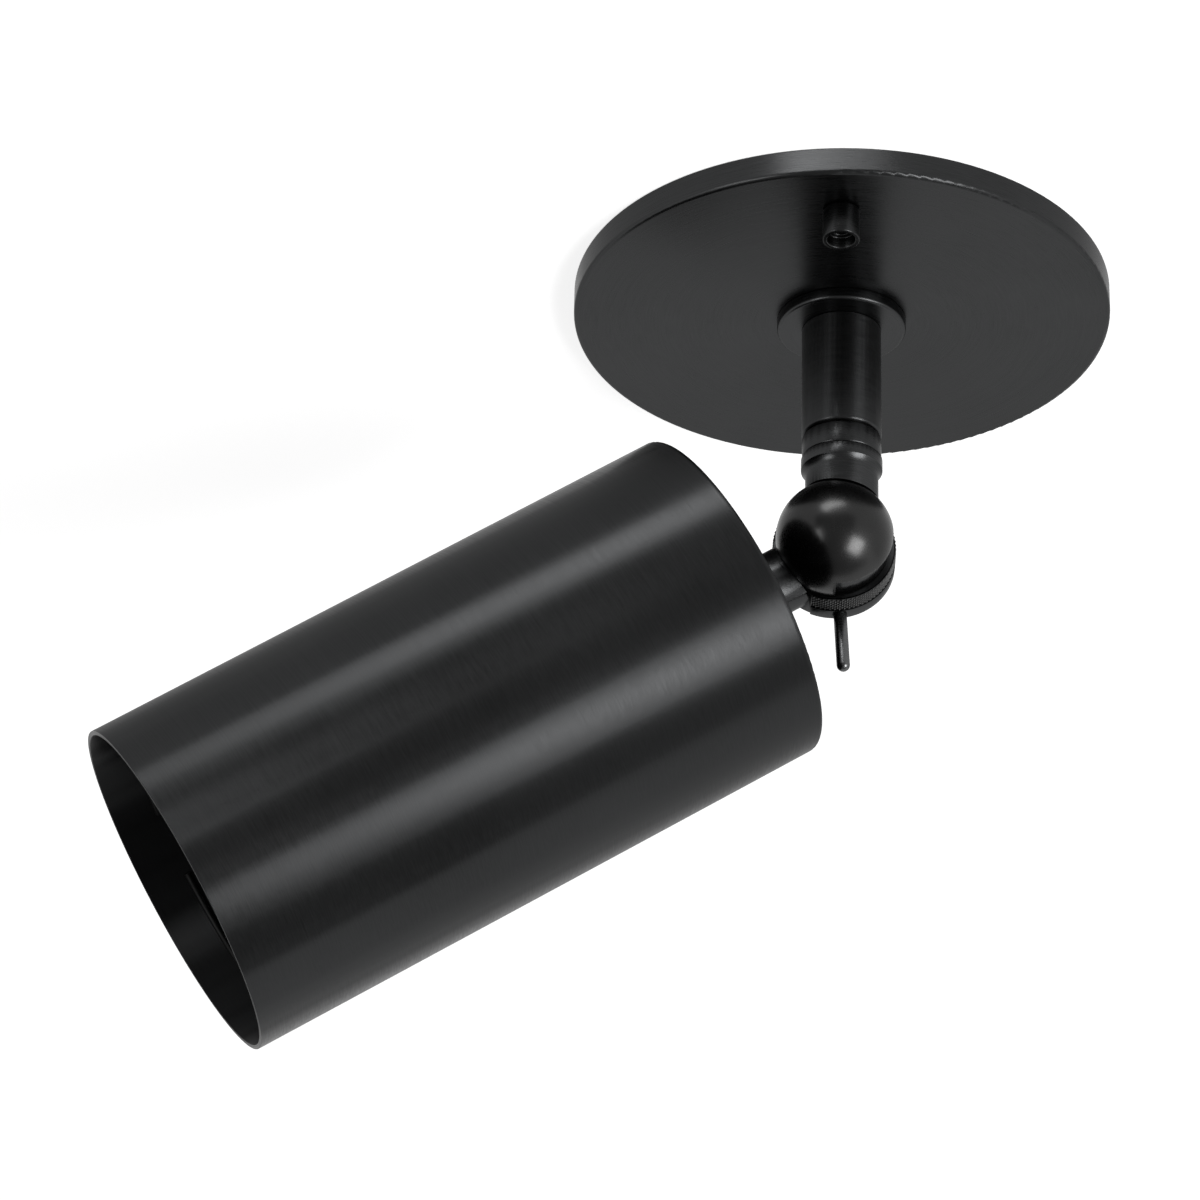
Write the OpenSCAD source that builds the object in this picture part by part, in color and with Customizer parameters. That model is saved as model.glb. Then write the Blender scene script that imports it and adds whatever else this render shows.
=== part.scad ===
// Ceiling spotlight: a round canopy, a short stem, a swivel, a ball knuckle with a lock lever
// and a plain cylinder shade that holds a reflector lamp.
// The ceiling plane is z = 0 and everything hangs below it. The stem is on the Z axis.

/* [Canopy] */
// Outside diameter of the canopy
canopy_d = 130; // [115:1:150]
// Height of the canopy from the ceiling to its face
canopy_h = 6.8; // [6.5:0.1:10]
// Thickness of the canopy face
canopy_face_t = 1.6; // [1:0.1:2.1]
// Thickness of the canopy rim
canopy_rim_t = 2.2; // [1.6:0.1:4]
// Radius of the rounded edge between rim and face
canopy_round = 0.9; // [0.5:0.1:2.2]
// Distance between the two studs that hold the canopy
stud_pitch = 98; // [84:0.5:101]
// Diameter of the studs
stud_d = 4.2; // [3.5:0.1:4.8]
// How far the studs stand below the canopy face
stud_out = 5.1; // [3.5:0.1:6.5]
// Diameter of the holes for the studs in the canopy face
stud_hole_d = 5.4; // [5:0.1:7]
// Outside diameter of the sleeve nuts on the studs
nut_d = 8.7; // [7.8:0.1:11]
// Length of the sleeve nuts
nut_len = 8; // [6:0.1:14]
// Diameter of the open end of the sleeve nuts
nut_mouth_d = 6.6; // [5:0.1:7.4]
// Depth of the open end of the sleeve nuts
nut_mouth_len = 2.9; // [1:0.1:4]

/* [Ceiling strap] */
// Length of the strap that goes across the ceiling box
strap_len = 106; // [104:0.5:116]
// Width of the strap
strap_w = 22; // [19:0.5:30]
// Thickness of the strap
strap_t = 1.6; // [1.2:0.1:2.1]
// Distance between the two holes for the ceiling box screws
box_pitch = 69.85; // [62:0.05:80]
// Diameter of the holes for the ceiling box screws
box_hole_d = 4.8; // [4.2:0.1:6]
// Distance of the ground screw from the strap centre
ground_y = 22; // [16:0.5:26]
// Diameter of the ground screw
ground_d = 4; // [3:0.1:5]
// Diameter of the ground screw head
ground_head_d = 8.2; // [6.5:0.1:10]
// Height of the ground screw head
ground_head_t = 2.2; // [1.5:0.1:3]

/* [Stem] */
// Outside diameter of the threaded nipple
nipple_d = 10.2; // [9:0.1:11]
// Bore of the nipple, where the supply leads pass
nipple_bore = 7; // [5:0.1:8]
// How far the nipple goes down into the sleeve
nipple_in = 14; // [8:0.5:14.5]
// Width across the flats of the hex nut on the nipple
hex_af = 16; // [13:0.1:18]
// Height of the hex nut
hex_t = 2.4; // [2:0.1:3]
// Outside diameter of the lock washer
lock_washer_d = 16.5; // [13:0.1:20]
// Diameter of the flange ring under the canopy
flange_d = 31.2; // [24:0.1:40]
// Thickness of the flange ring
flange_t = 3; // [1.6:0.1:6]
// Edge rounding of the flange ring
flange_round = 0.8; // [0.2:0.1:1.2]
// Outside diameter of the stem sleeve
sleeve_d = 19.2; // [18:0.1:22]
// Length of the stem sleeve
sleeve_len = 29.9; // [29:0.1:80]
// Rounding of the lower lip of the sleeve
lip_round = 0.6; // [0.2:0.1:0.9]

/* [Swivel] */
// Gap between the sleeve and the turning collar
swivel_gap = 0.5; // [0.3:0.05:0.8]
// Outside diameter of the collar
collar_d = 19; // [18.4:0.1:20]
// Length of the collar
collar_len = 5.7; // [5:0.1:9]
// Thickness of the collar's top wall
collar_top_t = 2.4; // [1.8:0.1:2.6]
// Inside diameter of the collar below its top wall
collar_bore = 16.6; // [16:0.1:17]
// Length of the swivel tube inside the sleeve
tube_in = 14; // [6:0.5:14.5]
// Bore of the swivel tube
tube_bore = 7; // [5:0.1:8]
// Diameter of the head of the swivel tube
tube_head_d = 14; // [12:0.1:14.6]
// Thickness of the head of the swivel tube
tube_head_t = 2.2; // [1.4:0.1:3]
// Thickness of the plastic swivel washer
swivel_washer_t = 0.6; // [0.4:0.05:1]
// Diameter of the stop pin
stop_pin_d = 1.2; // [1:0.1:1.4]
// Radius on which the stop pin travels
stop_r = 7.2; // [7:0.05:7.5]
// Depth of the groove for the stop pin
stop_depth = 1.8; // [1:0.1:4]
// Angle of the block left in the groove, where the pin stops
stop_block = 6; // [4:1:8]
// Turn of the lamp about the stem as it hangs here
pan_rest = 2.4; // [1.8:0.1:4]

/* [Neck] */
// Diameter of the bead under the collar
bead_d = 19.5; // [19:0.1:22]
// Height of the bead
bead_len = 3.4; // [2:0.1:6]
// Height of the slope from the bead to the neck
slope_len = 1.5; // [0.6:0.1:3]
// Diameter of the neck
neck_d = 17.5; // [16.6:0.1:18]
// Distance from the lower end of the slope to the knuckle axis
neck_drop = 16.7; // [15.6:0.1:24]
// Height of the spigot that enters the collar
spigot_len = 2; // [0.8:0.1:2.4]

/* [Knuckle] */
// Sideways distance of the knuckle axis from the stem axis, towards the shade
knuckle_out = 1.6; // [1.2:0.1:1.9]
// Diameter of the ball shaped cap
ball_d = 28.2; // [27.6:0.1:29]
// Distance of the cap's rear edge in front of the middle
cap_edge = 3.1; // [2.8:0.1:3.4]
// Wall of the ball shaped cap
cap_wall = 2.2; // [1.4:0.1:3.5]
// Diameter of the flat eye at the end of the neck
eye_d = 25.8; // [24.4:0.1:26]
// Thickness of the eye
eye_t = 5; // [4:0.1:5.2]
// Gap between parts that turn on each other
run_gap = 0.3; // [0.25:0.05:0.4]
// Thickness of the friction washers
friction_t = 0.5; // [0.3:0.05:0.8]
// Diameter of the friction washers
friction_d = 12.6; // [10:0.1:13]
// Angle of the cap's skirt above the arm
skirt_up = 55; // [40:1:56]
// Angle of the cap's skirt below the arm
skirt_down = 58; // [40:1:60]
// Diameter of the plain margin of the hub
hub_d = 29.6; // [29:0.1:31]
// Thickness of the hub
hub_t = 9; // [8.4:0.1:11]
// Depth of the plain part of the rim beside the arm
hub_relief = 0.35; // [0.2:0.05:0.6]
// Half angle of the plain part of the rim beside the arm
hub_plain = 36; // [30:1:42]
// Width of the knurled band
knurl_w = 5.2; // [3:0.1:5.5]
// Depth of the knurl
knurl_depth = 0.3; // [0.1:0.05:0.35]
// Diameter of the pivot bolt
bolt_d = 5; // [4:0.1:5.4]
// Diameter of the pivot bolt head
bolt_head_d = 8.4; // [7.4:0.1:9]
// Height of the pivot bolt head
bolt_head_t = 3; // [2.2:0.1:3.6]
// Length of the bolt's thread in the cap
bolt_in = 6.9; // [4:0.1:8]
// Height of the cone shaped spring washer
cone_h = 0.9; // [0.6:0.05:1.2]
// Diameter of the cover disc behind the hub
cover_d = 14.4; // [11.2:0.1:18]
// Thickness of the cover disc
cover_t = 1.2; // [0.8:0.1:2]

/* [Lock lever] */
// Diameter of the lock lever
lever_d = 3.2; // [2.4:0.1:3.4]
// Distance of the lever's tip from the knuckle axis
lever_reach = 29.9; // [22:0.1:40]
// Angle between the arm and the lever
lever_angle = 61; // [56:1:66]
// Sideways distance of the lever from the line through the knuckle axis
lever_side = 0.8; // [0:0.1:1]

/* [Arm] */
// Diameter of the arm
arm_d = 15.6; // [13:0.1:16]
// Bore of the arm for the leads
arm_bore = 5.6; // [4:0.1:6]
// Distance of the arm axis behind the middle of the knuckle
arm_back = 6.7; // [6.4:0.1:7.2]
// Distance from the knuckle axis to the shade
shade_start = 28.6; // [28:0.1:45]
// Tilt of the shade below the horizontal as it hangs here
tilt_rest = 32.1; // [31:0.1:34]
// Diameter of the small step washer
step_small_d = 17.3; // [16.4:0.1:18.4]
// Diameter of the large step washer
step_large_d = 18.7; // [17.6:0.1:24]
// Thickness of each step washer
step_t = 0.6; // [0.4:0.05:1.2]
// Diameter of the arm's threaded end
arm_end_d = 10.2; // [9:0.1:11]
// Width across the flats of the arm nut
arm_nut_af = 16; // [13:0.1:18]
// Height of the arm nut
arm_nut_t = 3.5; // [2.4:0.1:5]

/* [Shade] */
// Outside diameter of the shade
shade_d = 82; // [74:0.5:96]
// Length of the shade
shade_len = 149.7; // [130:0.1:200]
// Wall of the shade
shade_wall = 1.1; // [0.8:0.1:2]
// Wall of the shade's closed end
shade_back_t = 1.5; // [1:0.1:3]
// Rounding of the shade's closed end
shade_round = 1.5; // [1:0.1:5]
// Distance of the shade axis behind the middle of the knuckle
shade_back = 1.1; // [0.5:0.1:4]
// Diameter of the retaining ring's wire
clip_wire_d = 1.6; // [1:0.1:2.4]
// Depth of the retaining ring inside the mouth
clip_depth = 10.5; // [5:0.1:24]
// Opening between the ends of the retaining ring, as an angle
clip_open = 24; // [10:1:60]
// Direction of the retaining ring's opening
clip_turn = 50.5; // [0:0.5:360]

/* [Lamp holder] */
// Thickness of the bracket sheet
bracket_t = 1.2; // [1:0.1:2]
// Width of the bracket
bracket_w = 24; // [24:0.5:30]
// Distance between the outsides of the bracket's legs
bracket_span = 50; // [46:0.5:58]
// Length of the bracket's legs
bracket_leg = 18; // [14:0.5:22]
// Diameter of the lamp holder's body
holder_d = 38; // [36:0.5:44]
// Thickness of the holder's floor
holder_floor = 7.5; // [5:0.5:10]
// Distance between the holder's front edge and the lamp's neck
holder_gap = 1.3; // [0.5:0.1:3]
// Diameter of the holder's two screws
holder_screw_d = 3; // [2.5:0.1:4]
// Distance between the holder's two screws
holder_screw_pitch = 30; // [27:0.5:31]
// Thickness of the screw shell
shell_t = 0.5; // [0.4:0.05:0.8]
// Diameter of the centre contact
contact_d = 9; // [6:0.5:12]
// Height of the centre contact
contact_h = 2; // [1.4:0.1:3]

/* [Lamp] */
// Diameter of the lamp's screw cap
cap_d = 26.2; // [25:0.1:27]
// Length of the lamp's screw cap
cap_len = 22; // [18:0.5:26]
// Length of the insulated tip of the lamp
tip_len = 3.4; // [2:0.1:5]
// Diameter of the lamp's tip
tip_d = 10; // [8:0.5:14]
// Gap between the lamp's tip and the centre contact
tip_gap = 0.4; // [0.3:0.05:0.8]
// Diameter of the lamp's face
lamp_d = 63.5; // [58:0.5:70]
// Whole length of the lamp
lamp_len = 83; // [80:0.5:100]
// Height of the lamp's rim
lamp_rim_h = 7; // [5:0.5:12]
// Length of the lamp's straight neck above its screw cap
lamp_neck_len = 8; // [6:0.5:14]
// Thickness of the lamp's glass face
lens_t = 3; // [2:0.1:4]
// How far the glass face bulges
lens_bulge = 2.2; // [1:0.1:5]
// Wall of the lamp's glass bowl
bowl_t = 1.8; // [1.2:0.1:3]
// Diameter of the light source inside the lamp
burner_d = 11; // [8:0.5:14]
// Length of the light source inside the lamp
burner_len = 26; // [16:0.5:34]

/* [Hidden] */
$fn = 96;

// Radial clearance of a shaft that turns in a hole
fit = 0.05;
// Extra length that makes a cut come out clean
cut = 1;
// Small chamfer on turned edges
chamfer = 0.3;
// Extra clearance of the neck around the ball and the hub
neck_room = run_gap + 0.1;

canopy_face = -canopy_h;
flange_bottom = canopy_face - flange_t;
sleeve_bottom = flange_bottom - sleeve_len;
collar_top = sleeve_bottom - swivel_gap;
collar_shoulder = collar_top - collar_top_t;
collar_bottom = collar_top - collar_len;
bead_bottom = collar_bottom - bead_len;
neck_top = bead_bottom - slope_len;
knuckle_z = neck_top - neck_drop;

nut_top = canopy_face - run_gap;
washer_low = canopy_face + canopy_face_t;
washer_high = -strap_t - hex_t;
nipple_low = flange_bottom - nipple_in;

groove_half = stop_pin_d / 2 + 0.2;
stop_pin_low = collar_shoulder + 0.3;
stop_pin_high = sleeve_bottom + stop_depth - run_gap;

tube_high = sleeve_bottom + tube_in;
head_top = collar_shoulder - swivel_washer_t - run_gap;
head_bottom = head_top - tube_head_t;
spigot_r = tube_head_d / 2 + run_gap + 0.1;
neck_floor = min(head_bottom - run_gap, collar_bottom) - 1;

ball_r = ball_d / 2;
hub_r = hub_d / 2;
eye_r = eye_d / 2;
eye_front = -cap_edge + friction_t + run_gap;
eye_rear = eye_front + eye_t;
hub_front = eye_rear + run_gap + friction_t;
hub_rear = hub_front + hub_t;

// The cover disc lies a little way into the hub, and the bolt head stays clear of it
seat_depth = hub_rear - 0.25;
head_room = 0.2;
head_front = seat_depth - head_room - bolt_head_t;
bolt_seat = head_front - cone_h;
bolt_room_r = bolt_head_d / 2 + 0.9;
bolt_tip = -cap_edge - bolt_in;

// The leads pass from the neck into a curved pocket of the hub and on into the arm
pocket_in = bolt_room_r + 1.4;
pocket_out = eye_r - 2.5;
pocket_rear = hub_rear - 2;
pocket_from = lever_angle + 20;
pocket_to = 372;
window_from = 62;
window_to = 118;
slot_w = 9;
slot_t = eye_t - 2;

lever_back = seat_depth - lever_d / 2 - 0.15;
lever_in = bolt_head_d / 2 + 0.4;

arm_len = shade_start - 2 * step_t;
shade_end = shade_start + shade_len;
shade_in = shade_start + shade_back_t;
arm_off = arm_back - shade_back;
nut_seat = shade_in + bracket_t;
arm_end = nut_seat + arm_nut_t + 1;

foot_back = nut_seat + bracket_leg;
holder_back = foot_back + bracket_t;
floor_front = holder_back + holder_floor;
lamp_tip = floor_front + contact_h + tip_gap;
cap_start = lamp_tip + tip_len;
cap_end = cap_start + cap_len;
holder_front = cap_end - holder_gap;
shell_r = cap_d / 2 + fit + shell_t;
lamp_face = lamp_tip + lamp_len - lens_bulge;
bowl_floor = cap_end + 3;

// Turns the lamp side about the stem to where it hangs
module panned() {
    rotate([0, 0, pan_rest]) children();
}

// Knuckle frame: origin on the knuckle axis, Y to the rear, Z up
module at_knuckle() {
    panned() translate([-knuckle_out, 0, knuckle_z]) children();
}

// Arm frame: X along the arm to the mouth, Y to the rear, Z to the arm's lower side
module at_arm() {
    at_knuckle() rotate([0, 180 - tilt_rest, 0]) children();
}

// Shade frame: Z along the shade axis to the mouth
module at_shade() {
    at_arm() translate([0, shade_back, 0]) rotate([0, 90, 0]) children();
}

// Frame of the arm's own axis: Z along the arm
module at_bar() {
    at_arm() translate([0, arm_back, 0]) rotate([0, 90, 0]) children();
}

// Frame of the lock lever: Z along the lever, away from the knuckle
module at_lever() {
    translate([0, lever_back, 0]) rotate([0, 90 - lever_angle, 0]) translate([-lever_side, 0, 0]) children();
}

// A round part along the Y axis, from one depth to another
module disc_y(r, front, rear) {
    translate([0, front, 0]) rotate([-90, 0, 0]) cylinder(r = r, h = rear - front);
}

// A round part along the Y axis with a chamfer on its rear edge
module edged_disc_y(r, front, rear, edge) {
    depth = rear - front;
    translate([0, front, 0]) rotate([-90, 0, 0]) rotate_extrude()
        polygon([[0, 0], [r, 0], [r, depth - edge], [r - edge, depth], [0, depth]]);
}

// A ring sector about the Y axis, between two angles counted from X towards Z
module sector_y(r_in, r_out, front, rear, from, to) {
    translate([0, front, 0]) rotate([-90, 0, 0]) rotate([0, 0, -to]) rotate_extrude(angle = to - from)
        translate([r_in, 0]) square([r_out - r_in, rear - front]);
}

// The same with a chamfer on its rear outer edge
module edged_sector_y(r_in, r_out, front, rear, from, to, edge) {
    depth = rear - front;
    translate([0, front, 0]) rotate([-90, 0, 0]) rotate([0, 0, -to]) rotate_extrude(angle = to - from)
        polygon([[r_in, 0], [r_out, 0], [r_out, depth - edge], [r_out - edge, depth], [r_in, depth]]);
}

// Everything in front of a depth, as a block around the knuckle
module front_of(depth) {
    translate([-ball_d, depth - 2 * ball_d, -ball_d]) cube([2 * ball_d, 2 * ball_d, 2 * ball_d]);
}

// Profile of a round bar with a rounded edge at its low end, for turning about Z
module rounded_bar(r, low, high, edge) {
    translate([0, low]) square([r - edge, high - low]);
    translate([0, low + edge]) square([r, high - low - edge]);
    translate([r - edge, low + edge]) circle(r = edge, $fn = 64);
}

module ceiling_strap() {
    color("#9a9c9e") translate([0, 0, -strap_t]) difference() {
        intersection() {
            translate([-strap_w / 2, -strap_len / 2, 0]) cube([strap_w, strap_len, strap_t]);
            cylinder(d = strap_len, h = strap_t);
        }
        translate([0, 0, -cut]) cylinder(d = nipple_d, h = strap_t + 2 * cut);
        for (s = [-1, 1]) {
            translate([0, s * stud_pitch / 2, -cut]) cylinder(d = stud_d, h = strap_t + 2 * cut);
            translate([0, s * box_pitch / 2, -cut]) cylinder(d = box_hole_d, h = strap_t + 2 * cut);
        }
        translate([0, ground_y, -cut]) cylinder(d = ground_d, h = strap_t + 2 * cut);
    }
}

module ground_screw() {
    slot_depth = ground_head_t / 2;
    color("#2f6b3a") translate([0, ground_y, -strap_t]) {
        cylinder(d = ground_d, h = strap_t);
        translate([0, 0, -ground_head_t]) difference() {
            cylinder(d = ground_head_d, h = ground_head_t);
            translate([-ground_head_d, -0.5, -cut]) cube([2 * ground_head_d, 1, cut + slot_depth]);
        }
    }
}

// Stud that stands from the strap through the canopy face
module stud() {
    color("#8d8f91") translate([0, 0, canopy_face - stud_out]) cylinder(d = stud_d, h = canopy_h + stud_out);
}

module stud_front() {
    translate([0, -stud_pitch / 2, 0]) stud();
}

module stud_rear() {
    translate([0, stud_pitch / 2, 0]) stud();
}

module canopy() {
    color("#1c1c1d") difference() {
        rotate_extrude() rounded_bar(canopy_d / 2, canopy_face, 0, canopy_round);
        translate([0, 0, washer_low]) cylinder(r = canopy_d / 2 - canopy_rim_t, h = canopy_h);
        translate([0, 0, canopy_face - cut]) cylinder(d = nipple_d, h = canopy_h);
        for (s = [-1, 1])
            translate([0, s * stud_pitch / 2, canopy_face - cut]) cylinder(d = stud_hole_d, h = canopy_h);
    }
}

// Sleeve nut: threaded on the stud, with a wider open end below
module sleeve_nut() {
    color("#222223") translate([0, 0, nut_top - nut_len]) difference() {
        cylinder(d = nut_d, h = nut_len);
        translate([0, 0, -cut]) cylinder(d = stud_d + 2 * fit, h = nut_len + 2 * cut);
        translate([0, 0, -cut]) cylinder(d = nut_mouth_d, h = nut_mouth_len + cut);
    }
}

module canopy_nut_front() {
    translate([0, -stud_pitch / 2, 0]) sleeve_nut();
}

module canopy_nut_rear() {
    translate([0, stud_pitch / 2, 0]) sleeve_nut();
}

module nipple() {
    color("#b59a58") translate([0, 0, nipple_low]) difference() {
        cylinder(d = nipple_d, h = -nipple_low);
        translate([0, 0, -cut]) cylinder(d = nipple_bore, h = 2 * cut - nipple_low);
    }
}

module nipple_nut() {
    color("#a9abad") translate([0, 0, washer_high]) difference() {
        cylinder(d = hex_af / cos(30), h = hex_t, $fn = 6);
        translate([0, 0, -cut]) cylinder(d = nipple_d, h = hex_t + 2 * cut);
    }
}

module lock_washer() {
    washer_t = washer_high - washer_low;
    color("#8d8f91") translate([0, 0, washer_low]) difference() {
        cylinder(d = lock_washer_d, h = washer_t);
        translate([0, 0, -cut]) cylinder(d = nipple_d, h = washer_t + 2 * cut);
        translate([0, -0.4, -cut]) cube([lock_washer_d, 0.8, washer_t + 2 * cut]);
    }
}

module flange_ring() {
    color("#1a1a1b") difference() {
        rotate_extrude() rounded_bar(flange_d / 2, flange_bottom, canopy_face, flange_round);
        translate([0, 0, flange_bottom - cut]) cylinder(d = nipple_d, h = flange_t + 2 * cut);
    }
}

module stem_sleeve() {
    color("#1a1a1b") difference() {
        rotate_extrude() rounded_bar(sleeve_d / 2, sleeve_bottom, flange_bottom, lip_round);
        translate([0, 0, sleeve_bottom - cut]) cylinder(d = nipple_d, h = sleeve_len + 2 * cut);
        translate([0, 0, sleeve_bottom - cut]) rotate([0, 0, 180 + stop_block / 2])
            rotate_extrude(angle = 360 - stop_block)
                translate([stop_r - groove_half, 0]) square([2 * groove_half, stop_depth + cut]);
    }
}

module swivel_tube() {
    color("#b59a58") translate([0, 0, head_bottom]) difference() {
        union() {
            cylinder(d = nipple_d, h = tube_high - head_bottom);
            cylinder(d = tube_head_d, h = tube_head_t);
        }
        translate([0, 0, -cut]) cylinder(d = tube_bore, h = tube_high - head_bottom + 2 * cut);
    }
}

module swivel_washer() {
    color("#e4e0d4") translate([0, 0, collar_shoulder - swivel_washer_t]) difference() {
        cylinder(d = tube_head_d, h = swivel_washer_t);
        translate([0, 0, -cut]) cylinder(d = nipple_d + 2 * fit, h = swivel_washer_t + 2 * cut);
    }
}

module stop_pin() {
    color("#b8babc") panned() translate([stop_r, 0, stop_pin_low])
        cylinder(d = stop_pin_d, h = stop_pin_high - stop_pin_low, $fn = 48);
}

module swivel_collar() {
    collar_r = collar_d / 2;
    color("#1a1a1b") panned() difference() {
        translate([0, 0, collar_bottom]) rotate_extrude() polygon([
            [0, 0],
            [collar_r - chamfer, 0],
            [collar_r, chamfer],
            [collar_r, collar_len - chamfer],
            [collar_r - chamfer, collar_len],
            [0, collar_len]
        ]);
        translate([0, 0, collar_bottom - cut]) cylinder(d = nipple_d + 2 * fit, h = collar_len + 2 * cut);
        translate([0, 0, collar_bottom - cut]) cylinder(d = collar_bore, h = collar_len - collar_top_t + cut);
        translate([stop_r, 0, stop_pin_low]) cylinder(d = stop_pin_d, h = collar_top_t + cut, $fn = 48);
    }
}

// Outline of the neck, for turning about Z
module neck_profile() {
    bead_r = bead_d / 2;
    polygon([
        [0, collar_bottom],
        [bead_r - chamfer, collar_bottom],
        [bead_r, collar_bottom - chamfer],
        [bead_r, bead_bottom + chamfer],
        [bead_r - chamfer, bead_bottom],
        [neck_d / 2, neck_top],
        [neck_d / 2, knuckle_z],
        [0, knuckle_z]
    ]);
}

module neck() {
    color("#1a1a1b") panned() difference() {
        union() {
            difference() {
                rotate_extrude() neck_profile();
                translate([-knuckle_out, 0, knuckle_z]) {
                    intersection() {
                        sphere(r = ball_r + neck_room, $fn = 128);
                        front_of(eye_front);
                    }
                    disc_y(hub_r + neck_room, eye_rear, hub_rear + neck_d);
                }
            }
            translate([0, 0, collar_bottom]) cylinder(d = collar_bore, h = spigot_len);
            translate([-knuckle_out, 0, knuckle_z]) disc_y(eye_r, eye_front, eye_rear);
        }
        translate([0, 0, neck_floor]) cylinder(r = spigot_r, h = collar_top - neck_floor);
        translate([-knuckle_out, 0, knuckle_z]) {
            disc_y(bolt_d / 2 + fit, eye_front - cut, eye_rear + cut);
            sector_y(pocket_in, pocket_out, eye_front - cut, eye_rear + cut, window_from, window_to);
            translate([-slot_w / 2, (eye_front + eye_rear - slot_t) / 2, pocket_in + 1])
                cube([slot_w, slot_t, neck_floor - knuckle_z - pocket_in]);
        }
    }
}

module ball_cap() {
    boss_r = bolt_d / 2 + cap_wall;
    skirt_r = eye_r + run_gap;
    skirt_rear = hub_front - run_gap;
    color("#19191a") at_arm() difference() {
        union() {
            difference() {
                intersection() {
                    sphere(r = ball_r, $fn = 160);
                    front_of(-cap_edge);
                }
                sphere(r = ball_r - cap_wall, $fn = 128);
            }
            intersection() {
                sphere(r = ball_r - cap_wall / 2, $fn = 128);
                disc_y(boss_r, -ball_r, -cap_edge);
            }
            intersection() {
                sphere(r = ball_r, $fn = 160);
                sector_y(skirt_r, ball_r + cut, -cap_edge - 0.5, skirt_rear, -skirt_up, skirt_down);
            }
        }
        disc_y(bolt_d / 2, bolt_tip, cut);
    }
}

// Washer that the eye rubs on, held round the bolt
module friction_ring(front) {
    color("#c9b98a") at_arm() difference() {
        disc_y(friction_d / 2, front, front + friction_t);
        disc_y(bolt_d / 2, front - cut, front + friction_t + cut);
    }
}

module friction_washer_front() {
    friction_ring(-cap_edge);
}

module friction_washer_rear() {
    friction_ring(hub_front - friction_t);
}

module arm_hub() {
    knurl_rear = hub_front + knurl_w;
    color("#19191a") at_arm() difference() {
        union() {
            edged_disc_y(hub_r - hub_relief, hub_front, hub_rear, chamfer);
            edged_sector_y(pocket_out, hub_r, knurl_rear, hub_rear, hub_plain, 360 - hub_plain, chamfer);
            sector_y(pocket_out, hub_r - knurl_depth, hub_front, knurl_rear, hub_plain, 360 - hub_plain);
            difference() {
                translate([0, arm_back, 0]) rotate([0, 90, 0]) cylinder(d = arm_d, h = arm_len);
                disc_y(ball_r + 0.1, -ball_d, hub_front);
                disc_y(hub_r - 0.5, hub_rear, hub_rear + arm_d);
            }
            translate([arm_len - cut, arm_back, 0]) rotate([0, 90, 0])
                cylinder(d = arm_end_d, h = arm_end - arm_len + cut);
        }
        sector_y(pocket_in, pocket_out, hub_front - cut, pocket_rear, pocket_from, pocket_to);
        disc_y(bolt_d / 2, hub_front - cut, hub_rear);
        disc_y(bolt_room_r, bolt_seat, hub_rear + cut);
        disc_y(cover_d / 2, seat_depth, hub_rear + cut);
        translate([pocket_in + 1, arm_back, 0]) rotate([0, 90, 0]) cylinder(d = arm_bore, h = arm_end);
        at_lever() translate([0, 0, lever_in - run_gap]) cylinder(d = lever_d + 2 * fit, h = hub_d);
    }
}

module pivot_bolt() {
    socket_depth = bolt_head_t / 2;
    color("#8d8f91") at_arm() difference() {
        union() {
            disc_y(bolt_d / 2, bolt_tip, head_front);
            disc_y(bolt_head_d / 2, head_front, head_front + bolt_head_t);
        }
        translate([0, head_front + bolt_head_t - socket_depth, 0]) rotate([-90, 0, 0])
            cylinder(d = bolt_d * 0.8, h = socket_depth + cut, $fn = 6);
    }
}

module spring_washer() {
    cone_t = cone_h / 2;
    cone_r = bolt_room_r - 0.2;
    color("#a9abad") at_arm() translate([0, bolt_seat, 0]) rotate([-90, 0, 0]) rotate_extrude()
        polygon([[bolt_d / 2, cone_h], [bolt_d / 2, cone_h - cone_t], [cone_r, 0], [cone_r, cone_t]]);
}

module hub_cover() {
    color("#19191a") at_arm() edged_disc_y(cover_d / 2, seat_depth, seat_depth + cover_t, chamfer);
}

module lock_lever() {
    lever_end = lever_reach - lever_d / 2;
    color("#1d1d1e") at_arm() at_lever() {
        translate([0, 0, lever_in]) cylinder(d = lever_d, h = lever_end - lever_in);
        translate([0, 0, lever_end]) sphere(d = lever_d, $fn = 64);
    }
}

// Flat washer round the arm's threaded end
module step_washer(d, start) {
    color("#222223") at_bar() translate([0, 0, start]) difference() {
        cylinder(d = d, h = step_t);
        translate([0, 0, -cut]) cylinder(d = arm_end_d, h = step_t + 2 * cut);
    }
}

module boss_washer_small() {
    step_washer(step_small_d, arm_len);
}

module boss_washer_large() {
    step_washer(step_large_d, arm_len + step_t);
}

module shade() {
    shade_r = shade_d / 2;
    inner_r = shade_r - shade_wall;
    inner_edge = shade_round * 0.56;
    color("#1b1b1c") at_shade() difference() {
        rotate_extrude() rounded_bar(shade_r, shade_start, shade_end, shade_round);
        rotate_extrude() polygon([
            [0, shade_in],
            [inner_r - inner_edge, shade_in],
            [inner_r, shade_in + inner_edge],
            [inner_r, shade_end + cut],
            [0, shade_end + cut]
        ]);
        translate([0, arm_off, shade_start - cut]) cylinder(d = arm_end_d, h = shade_back_t + 2 * cut);
    }
}

module arm_nut() {
    color("#a9abad") at_bar() translate([0, 0, nut_seat]) difference() {
        cylinder(d = arm_nut_af / cos(30), h = arm_nut_t, $fn = 6);
        translate([0, 0, -cut]) cylinder(d = arm_end_d, h = arm_nut_t + 2 * cut);
    }
}

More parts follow.
